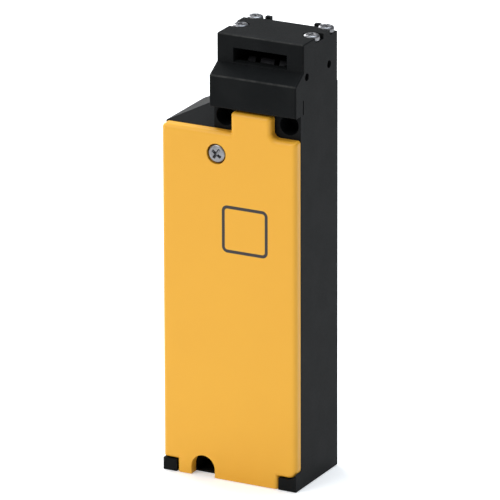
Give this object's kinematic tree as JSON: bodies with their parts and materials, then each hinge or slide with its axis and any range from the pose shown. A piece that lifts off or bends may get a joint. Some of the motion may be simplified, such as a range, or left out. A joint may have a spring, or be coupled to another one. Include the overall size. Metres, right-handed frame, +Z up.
{
  "type": "tongue interlock switch",
  "caption": "Tongue-operated guard interlock switch with solenoid lock: black moulded body with an offset head, yellow wiring cover and internal contact mechanism.",
  "frame": {"origin": "centre of the bottom of the bounding box, on the face with the cable entry", "axes": "+Z up towards the head, -Y the yellow cover, +Y the flat mounting face, +X the side that carries the head"},
  "size_m": [0.052, 0.0318, 0.161],
  "materials": {
    "black_housing": "fine textured glass-filled nylon",
    "yellow_cover": "satin moulded",
    "seal_rubber": "matt",
    "zinc": "zinc plated",
    "steel": "bright turned",
    "brass": "stamped",
    "light_moulding": "moulded insulator",
    "carrier_moulding": "moulded slider",
    "clear_lid": "clear moulded lid",
    "copper_winding": "taped copper winding",
    "cam_alloy": "hardened and ground"
  },
  "bodies": {
    "switch_body": {"base_housing": "black_housing", "entry_block": "black_housing", "cover_gasket": "seal_rubber", "head_housing": "black_housing", "head_cap": "black_housing", "head_gasket": "seal_rubber", "head_screws": "zinc", "cam_carrier": "steel", "carrier_pins": "steel", "cam_shaft": "steel", "plunger_guide": "light_moulding", "plunger_seal": "seal_rubber", "plunger_spring": "steel", "lever_pivot_pin": "steel", "contact_block": "light_moulding", "contact_block_lid": "clear_lid", "carrier_spring": "steel", "fixed_contacts": "brass", "terminal_clamps": "zinc", "terminal_screws": "zinc", "block_screws": "zinc", "solenoid_yoke": "zinc", "yoke_plate": "zinc", "coil_bobbin": "light_moulding", "coil_winding": "copper_winding", "fixed_core": "steel", "armature_spring": "steel", "solenoid_screws": "zinc", "coil_terminal_block": "light_moulding", "coil_terminal_plates": "brass", "coil_terminal_screws": "zinc"},
    "cover": {"front_cover": "yellow_cover", "cover_screw": "zinc"},
    "cam": {"cam_wheel": "cam_alloy"},
    "plunger": {"plunger": "steel"},
    "contact_slide": {"contact_carrier": "carrier_moulding", "contact_bridges": "brass", "bridge_springs": "steel"},
    "armature": {"armature": "steel"},
    "lever": {"lock_lever": "cam_alloy"}
  },
  "joints": [
    {"name": "cover_swing", "type": "hinge", "parent": "switch_body", "child": "cover", "pos_m": [0, -0.01585, 0], "axis": [1, 0, 0], "range_deg": [0, 90]},
    {"name": "cam_turn", "type": "hinge", "parent": "switch_body", "child": "cam", "pos_m": [0.00935, 0.0012, 0.1475], "axis": [-1, 0, 0], "range_deg": [0, 60]},
    {"name": "plunger_slide", "type": "slide", "parent": "switch_body", "child": "plunger", "axis": [0, 0, 1], "range_m": [0, 0.003], "deforming": ["plunger_spring"]},
    {"name": "carrier_slide", "type": "slide", "parent": "switch_body", "child": "contact_slide", "axis": [0, 0, 1], "range_m": [0, 0.003], "deforming": ["carrier_spring"]},
    {"name": "armature_slide", "type": "slide", "parent": "switch_body", "child": "armature", "axis": [0, 0, -1], "range_m": [0, 0.004], "stiffness_N_per_m": 60, "springref_m": -0.004, "deforming": ["armature_spring"]},
    {"name": "lever_turn", "type": "hinge", "parent": "switch_body", "child": "lever", "pos_m": [0.0006, 0.0012, 0.1079], "axis": [0, -1, 0], "range_deg": [0, 14.09]}
  ],
  "couplings": [
    {"joint": "cam_turn", "follows": "plunger_slide", "rad_per_m": 349.07},
    {"joint": "carrier_slide", "follows": "plunger_slide", "ratio": 1},
    {"joint": "lever_turn", "follows": "armature_slide", "rad_per_m": 61.444}
  ]
}
